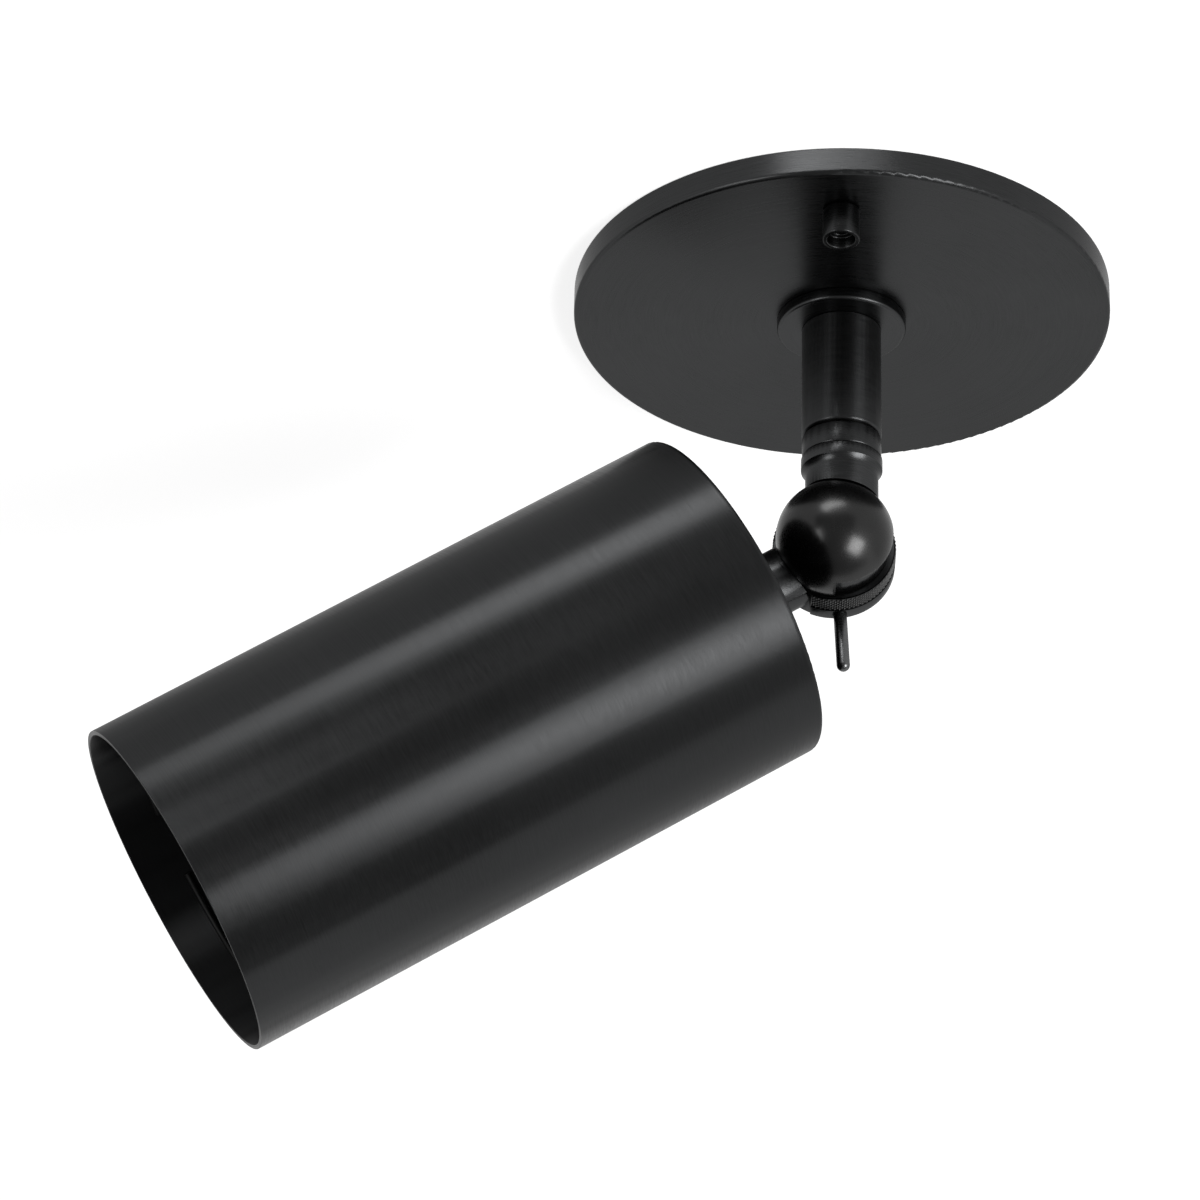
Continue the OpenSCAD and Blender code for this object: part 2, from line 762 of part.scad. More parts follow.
// Sheet bracket: a base on the shade's closed end, two legs and two inward feet for the holder
module holder_bracket() {
    foot = (bracket_span - holder_screw_pitch) / 2 + holder_screw_d / 2 + 1.5;
    half_span = bracket_span / 2;
    half_w = bracket_w / 2;
    leg_h = bracket_leg + 2 * bracket_t;
    color("#b4b6b8") at_shade() difference() {
        union() {
            translate([-half_span, -half_w, shade_in]) cube([bracket_span, bracket_w, bracket_t]);
            translate([half_span - bracket_t, -half_w, shade_in]) cube([bracket_t, bracket_w, leg_h]);
            translate([-half_span, -half_w, shade_in]) cube([bracket_t, bracket_w, leg_h]);
            translate([half_span - foot, -half_w, foot_back]) cube([foot, bracket_w, bracket_t]);
            translate([-half_span, -half_w, foot_back]) cube([foot, bracket_w, bracket_t]);
        }
        translate([0, arm_off, shade_in - cut]) cylinder(d = arm_end_d, h = bracket_t + 2 * cut);
        for (s = [-1, 1])
            translate([s * holder_screw_pitch / 2, 0, foot_back - cut])
                cylinder(d = holder_screw_d, h = bracket_t + 2 * cut, $fn = 48);
    }
}

// Screw with a flat head that goes through the bracket foot into the holder's floor
module holder_screw(side) {
    head_t = holder_screw_d * 0.6;
    screw_len = bracket_t + holder_floor - 1;
    color("#c8cacc") at_shade() translate([side * holder_screw_pitch / 2, 0, foot_back]) {
        translate([0, 0, -head_t]) cylinder(d = holder_screw_d * 1.8, h = head_t, $fn = 48);
        cylinder(d = holder_screw_d, h = screw_len, $fn = 48);
    }
}

module holder_screw_left() {
    holder_screw(-1);
}

module holder_screw_right() {
    holder_screw(1);
}

module lamp_holder() {
    color("#e8e4dc") at_shade() difference() {
        translate([0, 0, holder_back]) cylinder(d = holder_d, h = holder_front - holder_back);
        translate([0, 0, floor_front]) cylinder(r = shell_r, h = holder_front - floor_front + cut);
        for (s = [-1, 1])
            translate([s * holder_screw_pitch / 2, 0, holder_back - cut])
                cylinder(d = holder_screw_d, h = holder_floor, $fn = 48);
    }
}

module screw_shell() {
    shell_len = holder_front - floor_front - 2;
    color("#b08d4a") at_shade() translate([0, 0, floor_front]) difference() {
        cylinder(r = shell_r, h = shell_len);
        translate([0, 0, shell_t]) cylinder(r = shell_r - shell_t, h = shell_len);
        translate([0, 0, -cut]) cylinder(d = contact_d + 5, h = 2 * cut + shell_t);
    }
}

module centre_contact() {
    color("#c99a4a") at_shade() translate([0, 0, floor_front]) cylinder(d = contact_d, h = contact_h);
}

module lamp_cap() {
    color("#c3a35c") at_shade() {
        translate([0, 0, cap_start]) cylinder(d = cap_d, h = cap_len);
        translate([0, 0, lamp_tip]) cylinder(d1 = tip_d, d2 = cap_d - 6, h = tip_len);
    }
}

// Outline of the hollow glass bowl, for turning about the lamp axis
module reflector_profile() {
    neck_r = cap_d / 2 + 2;
    flare_low = cap_end + lamp_neck_len;
    rim_low = lamp_face - lamp_rim_h;
    rim_r = lamp_d / 2;
    bowl_r = rim_r - 0.6;
    polygon([
        [0, cap_end],
        [neck_r - 1, cap_end],
        [neck_r, cap_end + 1],
        for (k = [0 : 8]) [
            neck_r + (bowl_r - neck_r) * sin(90 * k / 8),
            flare_low + (rim_low - flare_low) * (1 - cos(90 * k / 8))
        ],
        [rim_r, rim_low + 0.6],
        [rim_r, lamp_face - lens_t],
        [bowl_r - bowl_t, lamp_face - lens_t],
        for (k = [8 : -1 : 0]) [
            neck_r - bowl_t + (bowl_r - neck_r) * sin(90 * k / 8),
            flare_low + bowl_t + (rim_low - flare_low - bowl_t) * (1 - cos(90 * k / 8))
        ],
        [neck_r - bowl_t, bowl_floor],
        [0, bowl_floor]
    ]);
}

module lamp_reflector() {
    color("#d6d8da") at_shade() rotate_extrude() reflector_profile();
}

module lamp_burner() {
    tube_len = burner_len - burner_d / 2;
    color("#dfe6ea") at_shade() translate([0, 0, bowl_floor]) {
        cylinder(d = burner_d, h = tube_len);
        translate([0, 0, tube_len]) sphere(d = burner_d, $fn = 64);
    }
}

module lamp_lens() {
    lens_r = lamp_d / 2;
    dome_r = (lens_r * lens_r + lens_bulge * lens_bulge) / (2 * lens_bulge);
    color("#e9eef2") at_shade() rotate_extrude() polygon([
        [0, lamp_face - lens_t],
        [lens_r, lamp_face - lens_t],
        for (k = [0 : 12]) let (x = lens_r * (1 - k / 12)) [
            x,
            lamp_face + lens_bulge - dome_r + sqrt(dome_r * dome_r - x * x)
        ]
    ]);
}

// Split wire ring that springs against the shade's wall
module retaining_ring() {
    ring_from = clip_turn + clip_open / 2;
    color("#9b9da0") at_shade() translate([0, 0, shade_end - clip_depth]) rotate([0, 0, ring_from])
        rotate_extrude(angle = 360 - clip_open)
            translate([shade_d / 2 - shade_wall - clip_wire_d / 2, 0]) circle(d = clip_wire_d, $fn = 32);
}

ceiling_strap();
ground_screw();
stud_front();
stud_rear();
canopy();
canopy_nut_front();
canopy_nut_rear();
nipple();
nipple_nut();
lock_washer();
flange_ring();
stem_sleeve();
swivel_tube();
swivel_washer();
stop_pin();
swivel_collar();
neck();
ball_cap();
friction_washer_front();
friction_washer_rear();
arm_hub();
pivot_bolt();
spring_washer();
hub_cover();
lock_lever();
boss_washer_small();
boss_washer_large();
shade();
arm_nut();
holder_bracket();
holder_screw_left();
holder_screw_right();
lamp_holder();
screw_shell();
centre_contact();
lamp_cap();
lamp_reflector();
lamp_burner();
lamp_lens();
retaining_ring();
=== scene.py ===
"""Looks of a black ceiling spotlight with a cylinder shade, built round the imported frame."""
import math

import bmesh
import bpy
from mathutils import Matrix, Vector


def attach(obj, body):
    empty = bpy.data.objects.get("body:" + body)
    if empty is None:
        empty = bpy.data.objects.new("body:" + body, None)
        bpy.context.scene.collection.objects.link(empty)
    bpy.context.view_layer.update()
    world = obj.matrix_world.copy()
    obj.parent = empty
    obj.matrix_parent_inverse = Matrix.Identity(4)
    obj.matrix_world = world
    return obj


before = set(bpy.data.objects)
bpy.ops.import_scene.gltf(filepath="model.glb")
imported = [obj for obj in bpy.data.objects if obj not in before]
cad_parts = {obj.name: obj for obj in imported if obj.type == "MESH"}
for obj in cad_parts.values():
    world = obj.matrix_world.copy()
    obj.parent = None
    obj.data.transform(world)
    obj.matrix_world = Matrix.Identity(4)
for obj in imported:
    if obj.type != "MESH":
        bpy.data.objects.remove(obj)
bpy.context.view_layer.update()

MM = 0.001
ORIGIN = Vector((0, 0, 0))
UP = Vector((0, 0, 1))

# Angles of the part at rest
PAN = math.radians(2.4)
TILT = math.radians(32.1)
LEVER_ANGLE = math.radians(61.0)

# Sizes of the part that the looks follow, in millimetres
KNUCKLE_OUT = 1.6
KNUCKLE_Z = -67.5
STUD_PITCH = 98.0
SHADE_BACK = 1.1
SHADE_INSIDE = 40.4
ARM_BACK = 6.7
LEVER_BACK = 10.5
LEVER_SIDE = 0.8

# Frame of the knuckle: X along the arm to the mouth, Y to the rear along the pivot bolt, and Z to
# the arm's lower side
AWAY = Vector((-math.cos(PAN), -math.sin(PAN), 0))
ARM_X = AWAY * math.cos(TILT) - UP * math.sin(TILT)
ARM_Y = Vector((-math.sin(PAN), math.cos(PAN), 0))
ARM_Z = ARM_X.cross(ARM_Y)
PIVOT = (AWAY * KNUCKLE_OUT + UP * KNUCKLE_Z) * MM


def in_arm(x, y, z):
    """A point of the knuckle frame, given in millimetres."""
    return PIVOT + (ARM_X * x + ARM_Y * y + ARM_Z * z) * MM


# Axes that pieces were turned on
STUD_AT = Vector((0, STUD_PITCH / 2, 0)) * MM
SHADE_AT = in_arm(0, SHADE_BACK, 0)
ARM_AT = in_arm(0, ARM_BACK, 0)
LEVER_AT = in_arm(-LEVER_SIDE * math.sin(LEVER_ANGLE), LEVER_BACK, LEVER_SIDE * math.cos(LEVER_ANGLE))
LEVER_DIR = ARM_X * math.cos(LEVER_ANGLE) + ARM_Z * math.sin(LEVER_ANGLE)

# Camera, as solved from the photograph's outlines
CAMERA_AT = Vector((0.0, -1.032917, -0.651167))
CAMERA_LOOK = Vector((-0.04833, 0.87547, 0.48085))
CAMERA_UP = Vector((0.00197, -0.48133, 0.87654))
CAMERA_RIGHT = CAMERA_LOOK.cross(CAMERA_UP)
CAMERA_LENS = 150
CAMERA_SENSOR = 36


def make_camera():
    data = bpy.data.cameras.new("camera")
    data.lens = CAMERA_LENS
    data.sensor_width = CAMERA_SENSOR
    data.clip_start = 0.05
    data.clip_end = 50
    camera = bpy.data.objects.new("camera", data)
    bpy.context.scene.collection.objects.link(camera)
    turn = Matrix((CAMERA_RIGHT, CAMERA_UP, -CAMERA_LOOK)).transposed().to_4x4()
    camera.matrix_world = Matrix.Translation(CAMERA_AT) @ turn
    bpy.context.scene.camera = camera


make_camera()

# Material helpers

# Range that most values of a noise texture lie in
NOISE_LOW = 0.3
NOISE_HIGH = 0.7


class Nodes:
    """Short calls for building a node tree."""

    def __init__(self, owner, output):
        owner.use_nodes = True
        self.tree = owner.node_tree
        self.tree.nodes.clear()
        self.out = self.new(output)

    def new(self, kind, **values):
        node = self.tree.nodes.new(kind)
        for key, value in values.items():
            setattr(node, key, value)
        return node

    def link(self, source, target):
        self.tree.links.new(source, target)

    def put(self, socket, value):
        """Links a socket or sets a plain value."""
        if isinstance(value, bpy.types.NodeSocket):
            self.link(value, socket)
        else:
            socket.default_value = value

    def math(self, operation, first, second):
        node = self.new("ShaderNodeMath", operation=operation)
        self.put(node.inputs[0], first)
        self.put(node.inputs[1], second)
        return node.outputs[0]

    def vector(self, operation, first, second=None):
        node = self.new("ShaderNodeVectorMath", operation=operation)
        self.put(node.inputs[0], first)
        if second is not None:
            self.put(node.inputs[1], second)
        kind = "Value" if operation in ("LENGTH", "DOT_PRODUCT") else "Vector"
        return node.outputs[kind]

    def scale(self, vector, factor):
        node = self.new("ShaderNodeVectorMath", operation="SCALE")
        self.put(node.inputs[0], vector)
        self.put(node.inputs["Scale"], factor)
        return node.outputs["Vector"]

    def combine(self, x, y, z):
        node = self.new("ShaderNodeCombineXYZ")
        for socket, value in zip(node.inputs, (x, y, z)):
            self.put(socket, value)
        return node.outputs[0]

    def spread(self, value, low, high, from_low=0.0, from_high=1.0):
        """Maps a value's range to another."""
        node = self.new("ShaderNodeMapRange")
        self.put(node.inputs["Value"], value)
        node.inputs["From Min"].default_value = from_low
        node.inputs["From Max"].default_value = from_high
        node.inputs["To Min"].default_value = low
        node.inputs["To Max"].default_value = high
        return node.outputs["Result"]

    def share(self, noise, low=0.0, high=1.0):
        """Maps the usual range of a noise to another."""
        return self.spread(noise, low, high, NOISE_LOW, NOISE_HIGH)

    def noise(self, vector, scale, detail, rough):
        node = self.new("ShaderNodeTexNoise")
        self.put(node.inputs["Vector"], vector)
        node.inputs["Scale"].default_value = scale
        node.inputs["Detail"].default_value = detail
        node.inputs["Roughness"].default_value = rough
        return node.outputs["Fac"]

    def tint(self, factor, low, high):
        """A colour between two shades."""
        node = self.new("ShaderNodeMix", data_type="RGBA")
        self.put(node.inputs["Factor"], factor)
        node.inputs["A"].default_value = (*low, 1)
        node.inputs["B"].default_value = (*high, 1)
        return next(socket for socket in node.outputs if socket.type == "RGBA")

    def bump(self, height, distance, strength, normal=None):
        node = self.new("ShaderNodeBump")
        node.inputs["Strength"].default_value = strength
        node.inputs["Distance"].default_value = distance
        self.put(node.inputs["Height"], height)
        if normal is not None:
            self.link(normal, node.inputs["Normal"])
        return node.outputs[0]

    def place(self):
        """Position on the piece at rest, in metres."""
        return self.new("ShaderNodeTexCoord").outputs["Object"]

    def turned(self, point, axis):
        """Radius and depth on a turned piece, and the vector from its axis."""
        offset = self.vector("SUBTRACT", self.place(), tuple(point))
        depth = self.vector("DOT_PRODUCT", offset, tuple(axis))
        out = self.vector("SUBTRACT", offset, self.scale(tuple(axis), depth))
        return self.vector("LENGTH", out), depth, out


class Surface(Nodes):
    """Node tree of a material with one principled shader."""

    def __init__(self, name):
        self.material = bpy.data.materials.new(name)
        super().__init__(self.material, "ShaderNodeOutputMaterial")
        self.shader = self.new("ShaderNodeBsdfPrincipled")
        self.link(self.shader.outputs[0], self.out.inputs["Surface"])

    def set(self, name, value):
        """Links or sets a socket of the shader."""
        self.put(self.shader.inputs[name], value)


# Blackened metal

# How much of a plain metal's brightening at a grazing angle the finish keeps
EDGE_TINT = 0.72
# Brightness inside the lamp shade, as a share of the outside: painted shade that darkens its inner wall
INSIDE_SHARE = 0.35
INSIDE_STEP = 0.1 * MM
# Turning lines to a metre along and out from the axis, and how fast they change round it
LINES = 3300.0
STREAK = 150.0
LINE_DEPTH = 0.04 * MM
# How far the brightness and the roughness wander
GREY_SWING = 0.16
GREY_COOL = 0.02
BRUSH_SWING = 0.05
CLOUD_SWING = 0.02
ARRIS_SAMPLES = 8


def grey_colour(grey, cool=0.0):
    return (grey * (1 - cool), grey, grey * (1 + cool))


def black_metal(name, point, axis, grey, rough, aniso, bite=0.5, shaded_within=None, arris=None):
    """Blackened metal with fine lines round a turning axis.

    It is darker within a radius, as painted shade, and its edges are shaded as rounded, where these are
    given."""
    look = Surface(name)
    radius, depth, out = look.turned(point, axis)
    split = look.new("ShaderNodeSeparateXYZ")
    look.link(out, split.inputs[0])
    x, y, z = split.outputs
    drift = look.math("MULTIPLY", look.math("ADD", x, y), STREAK)
    weave = look.math("MULTIPLY", look.math("SUBTRACT", z, y), STREAK)
    rings = look.math("ADD", look.math("MULTIPLY", radius, LINES), weave)
    brush = look.noise(look.combine(rings, look.math("MULTIPLY", depth, LINES), drift),
                       scale=1.0, detail=3.0, rough=0.6)
    cloud = look.noise(look.place(), scale=28.0, detail=3.0, rough=0.55)

    both = look.math("ADD", look.math("MULTIPLY", brush, 0.6), look.math("MULTIPLY", cloud, 0.4))
    colour = look.tint(look.share(both), grey_colour(grey * (1 - GREY_SWING), GREY_COOL),
                       grey_colour(grey * (1 + GREY_SWING), GREY_COOL))
    # Painted shade: the colour is darkened within the given radius
    if shaded_within:
        outside = look.spread(radius, INSIDE_SHARE, 1.0, shaded_within - INSIDE_STEP, shaded_within)
        colour = look.scale(colour, outside)
    look.set("Base Color", colour)
    look.set("Metallic", 1.0)
    look.set("Specular Tint", (*grey_colour(EDGE_TINT), 1))
    look.set("Roughness", look.math("ADD", look.share(brush, rough - BRUSH_SWING, rough + BRUSH_SWING),
                                    look.share(cloud, -CLOUD_SWING, CLOUD_SWING)))
    rounded = None
    if arris:
        soft = look.new("ShaderNodeBevel", samples=ARRIS_SAMPLES)
        soft.inputs["Radius"].default_value = arris
        rounded = soft.outputs[0]
    look.set("Normal", look.bump(brush, LINE_DEPTH, bite, rounded))

    look.set("Anisotropic", aniso)
    moved = look.new("ShaderNodeVectorTransform", vector_type="VECTOR",
                     convert_from="OBJECT", convert_to="WORLD")
    look.link(look.vector("CROSS_PRODUCT", tuple(axis), out), moved.inputs[0])
    facing = look.new("ShaderNodeNewGeometry").outputs["True Normal"]
    look.set("Tangent", look.vector("NORMALIZE", look.vector("CROSS_PRODUCT", facing, moved.outputs[0])))
    return look.material


def knurled_metal(name, point, axis, low, high):
    """Blackened metal, dark in the valleys of a knurl as painted shade, and light on its crests, partly
    rubbed wear and partly painted highlight.
    """
    look = Surface(name)
    radius, depth, out = look.turned(point, axis)
    grit = look.noise(look.place(), scale=1500.0, detail=3.0, rough=0.6)
    # Painted shade and highlight, with some wear: dark in the valleys, light on the crests
    crest_wear_and_light = look.math("MULTIPLY", look.spread(radius, 0.0, 1.0, low, high), look.share(grit, 0.7, 1.0))
    look.set("Base Color", look.tint(crest_wear_and_light, grey_colour(0.012), grey_colour(0.2)))
    look.set("Metallic", 1.0)
    look.set("Roughness", look.share(grit, 0.28, 0.42))
    look.set("Normal", look.bump(grit, distance=0.01 * MM, strength=0.3))
    return look.material


# Other metals, plastic and glass


def plain_metal(name, colour, rough, grain=900.0, spots=60.0, wear=0.15, bite=0.4, swing=0.06):
    """Bare or plated metal with a fine grain and faint stains."""
    look = Surface(name)
    grit = look.noise(look.place(), scale=grain, detail=4.0, rough=0.6)
    stain = look.noise(look.place(), scale=spots, detail=3.0, rough=0.6)
    low = tuple(part * (1 - wear) for part in colour)
    high = tuple(min(1.0, part * (1 + wear / 2)) for part in colour)
    look.set("Base Color", look.tint(look.share(stain), low, high))
    look.set("Metallic", 1.0)
    look.set("Roughness", look.math("ADD", look.share(grit, rough - swing, rough + swing),
                                    look.share(stain, -0.04, 0.04)))
    look.set("Normal", look.bump(grit, distance=0.02 * MM, strength=bite))
    return look.material


def moulded(name, colour, rough):
    """Moulded plastic or ceramic with a faint grain."""
    look = Surface(name)
    grit = look.noise(look.place(), scale=1200.0, detail=3.0, rough=0.55)
    cloud = look.noise(look.place(), scale=45.0, detail=3.0, rough=0.5)
    low = tuple(part * 0.93 for part in colour)
    look.set("Base Color", look.tint(look.share(cloud), low, colour))
    look.set("Roughness", look.share(grit, rough - 0.06, rough + 0.06))
    look.set("Normal", look.bump(grit, distance=0.03 * MM, strength=0.5))
    return look.material


def painted(name, colour, rough):
    """Screw with a coloured finish, a little rubbed."""
    look = Surface(name)
    grit = look.noise(look.place(), scale=700.0, detail=4.0, rough=0.6)
    low = tuple(part * 0.75 for part in colour)
    look.set("Base Color", look.tint(look.share(grit), low, colour))
    look.set("Metallic", 0.6)
    look.set("Roughness", look.share(grit, rough - 0.08, rough + 0.08))
    look.set("Normal", look.bump(grit, distance=0.02 * MM, strength=0.4))
    return look.material


def pebbled_glass(name):
    """Pressed glass with a pebbled surface."""
    look = Surface(name)
    cells = look.new("ShaderNodeTexVoronoi", feature="SMOOTH_F1")
    look.link(look.place(), cells.inputs["Vector"])
    cells.inputs["Scale"].default_value = 420.0
    haze = look.noise(look.place(), scale=90.0, detail=3.0, rough=0.5)
    look.set("Base Color", look.tint(look.share(haze), (0.86, 0.88, 0.89), (0.93, 0.95, 0.96)))
    look.set("Roughness", look.share(haze, 0.22, 0.32))
    look.set("Transmission Weight", 0.75)
    look.set("IOR", 1.5)
    look.set("Normal", look.bump(cells.outputs["Distance"], distance=0.4 * MM, strength=0.5))
    return look.material


# Finishes of the CAD nodes


def dress(material, *names):
    """Gives CAD nodes a finish."""
    for name in names:
        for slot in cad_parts[name].material_slots:
            slot.material = material


dress(black_metal("black_canopy", ORIGIN, UP, 0.042, 0.30, 0.5, bite=0.35, arris=0.5 * MM), "canopy")
dress(black_metal("black_stem", ORIGIN, UP, 0.054, 0.36, 0.85, bite=0.2), "stem_sleeve")
dress(black_metal("black_ring", ORIGIN, UP, 0.045, 0.30, 0.4, bite=0.2), "flange_ring", "swivel_collar")
dress(black_metal("black_neck", ORIGIN, UP, 0.052, 0.29, 0.3, bite=0.1), "neck")
dress(black_metal("black_nut_front", -STUD_AT, UP, 0.04, 0.30, 0.5), "canopy_nut_front")
dress(black_metal("black_nut_rear", STUD_AT, UP, 0.04, 0.30, 0.5), "canopy_nut_rear")
dress(black_metal("black_hub", PIVOT, ARM_Y, 0.05, 0.32, 0.2), "arm_hub", "hub_cover")
dress(black_metal("black_step", ARM_AT, ARM_X, 0.035, 0.30, 0.4),
      "boss_washer_small", "boss_washer_large")
# The lamp shade's inner wall is darkened as painted shade
dress(black_metal("black_shade", SHADE_AT, ARM_X, 0.036, 0.37, 0.9, bite=0.3,
                  shaded_within=SHADE_INSIDE * MM), "shade")
# The lever is drawn lighter than the other blackened parts: a painted highlight
dress(black_metal("black_lever", LEVER_AT, LEVER_DIR, 0.13, 0.28, 0.3, bite=0.2), "lock_lever")
dress(plain_metal("black_ball", grey_colour(0.046), 0.27, grain=1500.0, spots=70.0,
                  bite=0.08, swing=0.02), "ball_cap")
# The studs are drawn near black: painted shade in the holes of the canopy nuts
dress(plain_metal("stud_painted_shade", grey_colour(0.02), 0.45), "stud_front", "stud_rear")
# The retaining ring is drawn darker than the blackened parts: painted shade inside the mouth
dress(plain_metal("ring_wire", grey_colour(0.015), 0.5), "retaining_ring")
dress(plain_metal("zinc_steel", (0.62, 0.63, 0.64), 0.33),
      "ceiling_strap", "nipple_nut", "lock_washer", "stop_pin", "pivot_bolt", "spring_washer",
      "arm_nut", "holder_bracket", "holder_screw_left", "holder_screw_right")
dress(painted("green_screw", (0.05, 0.24, 0.09), 0.38), "ground_screw")
dress(plain_metal("brass_tube", (0.62, 0.46, 0.19), 0.32), "nipple", "swivel_tube")
dress(plain_metal("brass_shell", (0.66, 0.5, 0.22), 0.26), "screw_shell", "centre_contact")
dress(plain_metal("brass_cap", (0.7, 0.56, 0.28), 0.24), "lamp_cap")
dress(moulded("washer_plastic", (0.74, 0.7, 0.58), 0.45),
      "swivel_washer", "friction_washer_front", "friction_washer_rear")
dress(moulded("holder_plastic", (0.8, 0.78, 0.72), 0.32), "lamp_holder")
dress(plain_metal("lamp_mirror", (0.82, 0.82, 0.83), 0.12, wear=0.05), "lamp_reflector")
dress(pebbled_glass("lamp_glass"), "lamp_lens", "lamp_burner")

# Knurl, as a band of small pyramids in the CAD hub's sunk band, in millimetres

HUB_FRONT = 3.5
KNURL_WIDTH = 5.2
KNURL_LOW = 14.47
KNURL_HIGH = 14.79
KNURL_BACK = 14.15
# Pyramids to a full turn, and the part of the turn that has them, in degrees from the arm
KNURL_ROUND = 80
KNURL_FROM = 36.0
KNURL_TO = 324.0


def make_knurl():
    """Band of small pyramids round the hub, closed at the back and the ends."""
    columns = round((KNURL_TO - KNURL_FROM) / 360 * KNURL_ROUND * 2)
    rows = round(KNURL_WIDTH / (2 * math.pi * KNURL_HIGH / KNURL_ROUND) * 2)
    band = bmesh.new()

    def point(column, row, radius):
        angle = math.radians(KNURL_FROM + (KNURL_TO - KNURL_FROM) * column / columns)
        depth = HUB_FRONT + KNURL_WIDTH * row / rows
        return band.verts.new(in_arm(radius * math.cos(angle), depth, radius * math.sin(angle)))

    def height(column, row):
        """Crests stand at every second crossing inside the band's edges."""
        low = column in (0, columns) or row in (0, rows) or (column + row) % 2
        return KNURL_LOW if low else KNURL_HIGH

    front = [[point(column, row, height(column, row)) for row in range(rows + 1)]
             for column in range(columns + 1)]
    back = [[point(column, row, KNURL_BACK) for row in (0, rows)] for column in range(columns + 1)]
    for column in range(columns):
        here, there = front[column], front[column + 1]
        for row in range(rows):
            middle = point(column + 0.5, row + 0.5, KNURL_LOW)
            ring = [here[row], there[row], there[row + 1], here[row + 1]]
            for corner in range(4):
                band.faces.new((ring[corner], ring[(corner + 1) % 4], middle))
        (here_low, here_high), (there_low, there_high) = back[column], back[column + 1]
        band.faces.new((here_low, here_high, there_high, there_low))
        band.faces.new((here[0], here_low, there_low, there[0]))
        band.faces.new((here[rows], there[rows], there_high, here_high))
    for column in (0, columns):
        side = [*front[column], back[column][1], back[column][0]]
        band.faces.new(side if column else list(reversed(side)))
    bmesh.ops.recalc_face_normals(band, faces=band.faces)
    mesh = bpy.data.meshes.new("hub_knurl")
    band.to_mesh(mesh)
    band.free()
    piece = bpy.data.objects.new("hub_knurl", mesh)
    bpy.context.scene.collection.objects.link(piece)
    mesh.materials.append(knurled_metal("black_knurl", PIVOT, ARM_Y, KNURL_LOW * MM, KNURL_HIGH * MM))
    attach(piece, "head")


make_knurl()

# Edges that catch the light, by their width in millimetres

EDGES = {
    0.3: ("stem_sleeve",),
    0.25: ("flange_ring", "canopy_nut_front", "canopy_nut_rear", "shade", "ball_cap", "ceiling_strap"),
    0.2: ("arm_hub", "nipple_nut", "arm_nut"),
    0.15: ("swivel_collar", "neck", "holder_bracket", "ground_screw"),
    0.12: ("boss_washer_small", "boss_washer_large"),
    0.1: ("lock_lever",),
}


def soften(piece, width):
    """Rounds the sharp edges of a CAD node as it is drawn."""
    weld = piece.modifiers.new("weld", "WELD")
    weld.merge_threshold = 0.001 * MM
    flat = piece.modifiers.new("flat", "DECIMATE")
    flat.decimate_type = "DISSOLVE"
    flat.angle_limit = math.radians(0.3)
    bevel = piece.modifiers.new("edge", "BEVEL")
    bevel.width = width * MM
    bevel.segments = 2
    bevel.limit_method = "ANGLE"
    bevel.angle_limit = math.radians(38)
    bevel.harden_normals = True
    bevel.use_clamp_overlap = True


for width, names in EDGES.items():
    for name in names:
        soften(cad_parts[name], width)

# Ceiling, floor and grey cloths, in metres

CEILING_Z = 0.0003
CEILING_HALF = 4.0
CEILING_GLOW = 0.74
FLOOR_Z = -2.3
FLOOR_HALF = 7.0
FLOOR_GLOW = 0.8
CLOTH_GREY = 0.32
CLOTH_Y = -2.0
CLOTH_Z = -1.7


def stage_sheet(name, corners, material, camera=True, glossy=True, light=True):
    """Four-cornered sheet of the studio, and what sees it."""
    mesh = bpy.data.meshes.new(name)
    mesh.from_pydata(corners, [], [(0, 1, 2, 3)])
    mesh.materials.append(material)
    sheet = bpy.data.objects.new(name, mesh)
    bpy.context.scene.collection.objects.link(sheet)
    sheet.visible_camera = camera
    sheet.visible_glossy = glossy
    sheet.visible_transmission = glossy
    sheet.visible_diffuse = light
    sheet.visible_shadow = light


def level_corners(left, right, front, rear, z):
    return [(left, front, z), (right, front, z), (right, rear, z), (left, rear, z)]


def upright_corners(left, right, low, high, y):
    return [(left, y, low), (right, y, low), (right, y, high), (left, y, high)]


def seen_rays(nodes):
    """One for the rays that show the background: the camera's, and those through gloss and glass."""
    path = nodes.new("ShaderNodeLightPath")
    direct = nodes.math("MAXIMUM", path.outputs["Is Camera Ray"], path.outputs["Is Glossy Ray"])
    return nodes.math("MAXIMUM", direct, path.outputs["Is Transmission Ray"])


def pale_material(name, glow, clear_behind=False):
    """Matt white surface that keeps its shadows and is white where it is seen."""
    look = Surface(name)
    look.set("Base Color", (0.8, 0.8, 0.8, 1))
    look.set("Roughness", 0.9)
    look.set("Specular IOR Level", 0.0)
    light = look.new("ShaderNodeEmission")
    look.link(look.math("MULTIPLY", seen_rays(look), glow), light.inputs["Strength"])
    both = look.new("ShaderNodeAddShader")
    look.link(look.shader.outputs[0], both.inputs[0])
    look.link(light.outputs[0], both.inputs[1])
    look.link(both.outputs[0], look.out.inputs["Surface"])
    if clear_behind:
        shown = look.new("ShaderNodeMixShader")
        look.link(look.new("ShaderNodeNewGeometry").outputs["Backfacing"], shown.inputs[0])
        look.link(both.outputs[0], shown.inputs[1])
        look.link(look.new("ShaderNodeBsdfTransparent").outputs[0], shown.inputs[2])
        look.link(shown.outputs[0], look.out.inputs["Surface"])
    return look.material


def cloth_material(name, grey):
    """Grey cloth of the studio, drawn at one level."""
    material = bpy.data.materials.new(name)
    nodes = Nodes(material, "ShaderNodeOutputMaterial")
    light = nodes.new("ShaderNodeEmission")
    light.inputs["Strength"].default_value = grey
    nodes.link(light.outputs[0], nodes.out.inputs["Surface"])
    return material


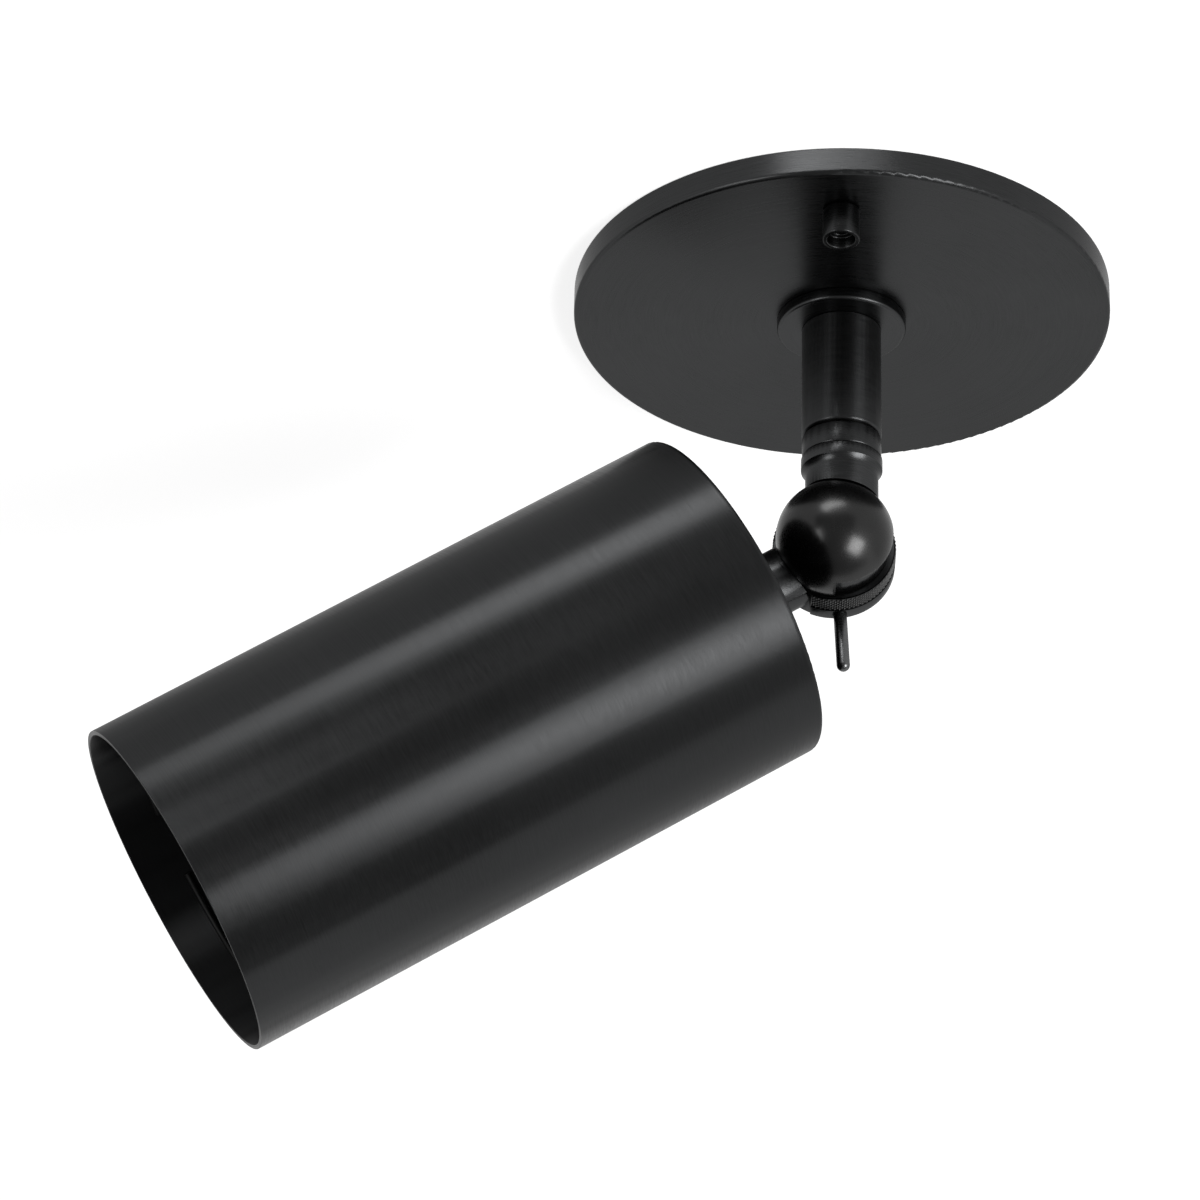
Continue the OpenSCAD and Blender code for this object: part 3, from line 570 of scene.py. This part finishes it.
CEILING_CORNERS = level_corners(-CEILING_HALF, CEILING_HALF, -CEILING_HALF, CEILING_HALF, CEILING_Z)
FLOOR_CORNERS = level_corners(-FLOOR_HALF, FLOOR_HALF, -FLOOR_HALF, FLOOR_HALF, FLOOR_Z)
# The corners are taken backwards for the ceiling, so that it faces down
stage_sheet("ceiling", CEILING_CORNERS[::-1], pale_material("ceiling", CEILING_GLOW, clear_behind=True),
            glossy=False, light=False)
stage_sheet("floor", FLOOR_CORNERS, pale_material("floor", FLOOR_GLOW))

# The cloths hang in front of the part and lie under it, and only gloss shows them
CLOTH = cloth_material("studio_cloth", CLOTH_GREY)
stage_sheet("cloth_front", upright_corners(-1.5, 1.5, CLOTH_Z, 0.8, CLOTH_Y), CLOTH,
            camera=False, light=False)
stage_sheet("cloth_low", level_corners(-1.5, 2.2, CLOTH_Y, 0.5, CLOTH_Z), CLOTH,
            camera=False, light=False)

# Lights

LIGHT_TARGET = Vector((-0.03, 0.0, -0.07))
DIFFUSE_ROOM = 0.3


def around_camera(side, rise):
    """Direction from the part, at two angles in degrees from the camera's direction."""
    side, rise = math.radians(side), math.radians(rise)
    return (-CAMERA_LOOK * math.cos(side) * math.cos(rise)
            + CAMERA_RIGHT * math.sin(side) * math.cos(rise) + CAMERA_UP * math.sin(rise))


def softbox(name, direction, distance, width, height, radiance, along=None):
    """Soft light that faces the part, in metres, with its width along a direction if one is given."""
    data = bpy.data.lights.new(name, "AREA")
    data.shape = "RECTANGLE"
    data.size = width
    data.size_y = height
    data.energy = math.pi * width * height * radiance
    light = bpy.data.objects.new(name, data)
    bpy.context.scene.collection.objects.link(light)
    back = direction.normalized()
    light.location = LIGHT_TARGET + back * distance
    light.rotation_mode = "QUATERNION"
    if along is None:
        light.rotation_quaternion = (-direction).to_track_quat("-Z", "Y")
    else:
        side = (along - back * along.dot(back)).normalized()
        light.rotation_quaternion = Matrix((side, back.cross(side), back)).transposed().to_quaternion()


softbox("soft_right", around_camera(40, -13), distance=1.6, width=0.75, height=0.75, radiance=9.0)
softbox("soft_left", around_camera(-38, 5), distance=1.6, width=0.6, height=0.6, radiance=4.0)
softbox("soft_high", Vector((-0.05, -0.738, 0.672)), distance=2.0, width=1.3, height=0.6,
        radiance=6.0, along=-ARM_X)


def make_world():
    """Room that is pale where it is seen, and dimmer as a light."""
    world = bpy.data.worlds.new("studio")
    bpy.context.scene.world = world
    nodes = Nodes(world, "ShaderNodeOutputWorld")
    world.cycles.sampling_method = "NONE"
    room = nodes.new("ShaderNodeBackground")
    nodes.link(nodes.spread(seen_rays(nodes), DIFFUSE_ROOM, 1.0), room.inputs["Strength"])
    nodes.link(room.outputs[0], nodes.out.inputs["Surface"])


make_world()
bpy.context.scene.view_settings.view_transform = "Standard"
